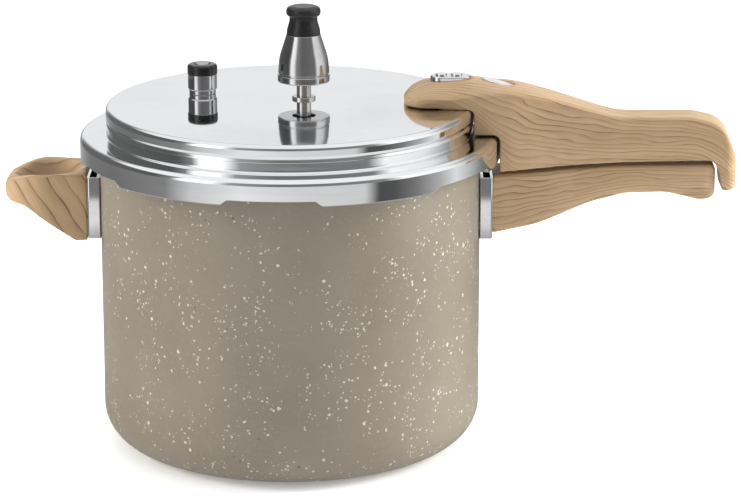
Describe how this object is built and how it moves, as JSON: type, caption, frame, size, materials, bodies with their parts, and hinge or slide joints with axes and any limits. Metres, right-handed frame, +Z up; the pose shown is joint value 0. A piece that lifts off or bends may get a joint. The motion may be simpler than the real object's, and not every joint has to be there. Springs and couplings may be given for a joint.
{
  "type": "stovetop pressure cooker",
  "caption": "Round stovetop pressure cooker with a turning bayonet lid, a two-part long handle with an end hook, a helper handle, a regulating weight and a spring safety valve.",
  "frame": {"origin": "centre of the pot base, on the surface the pot stands on", "axes": "+Z up along the pot axis, +X along the long handle, -X along the helper handle"},
  "size_m": [0.434, 0.2486, 0.2602],
  "materials": {
    "coated_aluminium": "satin, flecked",
    "polished_aluminium": "mirror polished",
    "polished_steel": "polished",
    "plain_steel": "plain",
    "wood_look_phenolic": "satin, wood grain pattern",
    "black_phenolic": "satin",
    "gasket_rubber": "matte",
    "valve_brass": "machined"
  },
  "bodies": {
    "root": {"pot_shell": "coated_aluminium", "long_bracket": "polished_steel", "long_bracket_rivets": "plain_steel", "lower_handle": "wood_look_phenolic", "lower_handle_bolt": "plain_steel", "short_bracket": "polished_steel", "short_bracket_rivets": "plain_steel", "helper_handle": "wood_look_phenolic", "helper_handle_bolt": "plain_steel"},
    "seal": {"sealing_gasket": "gasket_rubber"},
    "lid": {"lid_shell": "polished_aluminium", "lid_strap": "plain_steel", "lid_strap_rivets": "plain_steel", "upper_handle": "wood_look_phenolic", "handle_plate": "polished_steel", "handle_plate_screws": "polished_steel", "handle_badge": "polished_aluminium", "vent_pipe": "valve_brass", "vent_washer": "gasket_rubber", "vent_nut": "valve_brass", "relief_barrel": "polished_steel", "relief_washer": "gasket_rubber", "relief_nut": "valve_brass", "relief_cap": "black_phenolic", "relief_spring": "plain_steel"},
    "weight": {"weight_bell": "polished_steel", "weight_seat": "valve_brass", "weight_stud": "plain_steel", "weight_knob": "black_phenolic"},
    "relief": {"relief_piston": "valve_brass"}
  },
  "joints": [
    {"name": "lid_lift", "type": "slide", "parent": "root", "child": "seal", "axis": [0, 0, 1], "range_m": [0, 0.12]},
    {"name": "lid_turn", "type": "hinge", "parent": "seal", "child": "lid", "pos_m": [0, 0, 0.19], "axis": [0, 0, 1], "range_deg": [0, 30]},
    {"name": "weight_lift", "type": "slide", "parent": "lid", "child": "weight", "axis": [0, 0, 1], "range_m": [0, 0.04]},
    {"name": "relief_pop", "type": "slide", "parent": "lid", "child": "relief", "axis": [0, 0, 1], "range_m": [0, 0.0025], "stiffness_N_per_m": 1500, "springref_m": -0.002, "deforming": ["relief_spring"]}
  ]
}
